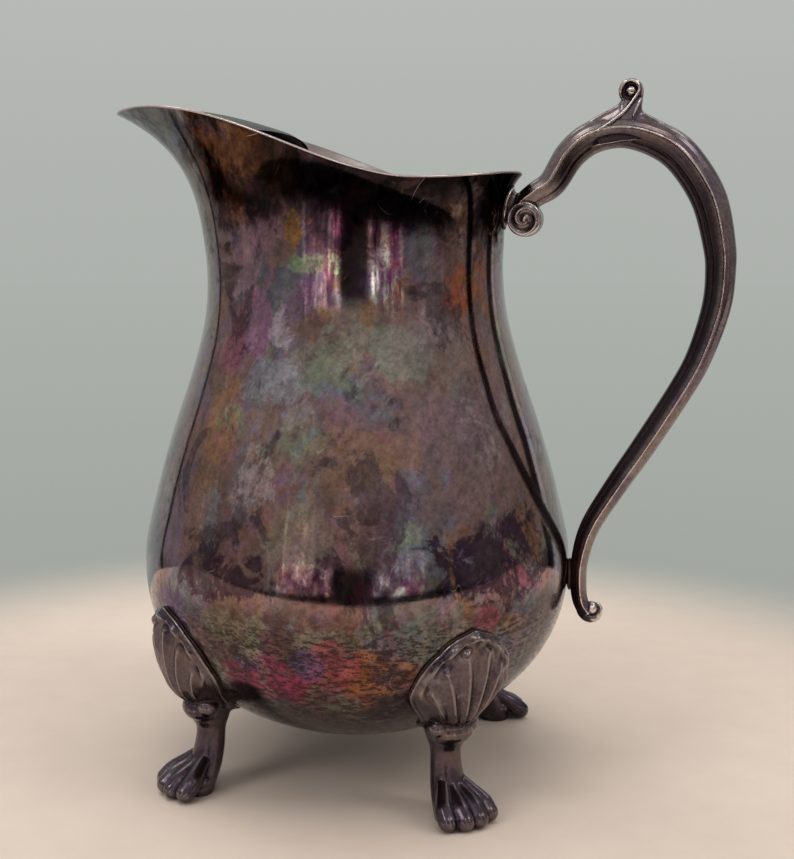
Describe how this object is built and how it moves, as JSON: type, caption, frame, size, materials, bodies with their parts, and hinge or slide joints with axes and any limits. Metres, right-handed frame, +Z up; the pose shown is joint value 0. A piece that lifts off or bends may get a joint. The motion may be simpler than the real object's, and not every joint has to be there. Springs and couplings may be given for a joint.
{
  "type": "water pitcher",
  "caption": "Round-bellied footed pitcher with a drawn-out spout, ice guard, C-scroll handle and paw feet, in tarnished silver plate.",
  "frame": {"origin": "bottom centre of the bounding box, on the plane that the feet stand on", "axes": "+Z up; +X from the spout towards the handle; XZ is the mirror plane. The body's own round axis is parallel to Z and 19 mm behind the origin towards the spout, at x = -19.1 mm."},
  "size_m": [0.206, 0.1442, 0.2285],
  "materials": {
    "silver_body": "polished silver plate with patchy iridescent tarnish",
    "silver_guard": "dark tarnished silver plate, satin",
    "silver_handle": "cast and silver-plated, semi-gloss, darker in the recesses",
    "silver_feet": "cast and silver-plated, semi-gloss, darker in the recesses",
    "solder": "brownish solder, satin"
  },
  "bodies": {
    "root": {"body_shell": "silver_body", "ice_guard": "silver_guard", "handle": "silver_handle", "upper_handle_solder": "solder", "lower_handle_solder": "solder", "foot_rear_right": "silver_feet", "foot_rear_right_solder": "solder", "foot_front_right": "silver_feet", "foot_front_right_solder": "solder", "foot_front_left": "silver_feet", "foot_front_left_solder": "solder", "foot_rear_left": "silver_feet", "foot_rear_left_solder": "solder"}
  },
  "joints": []
}
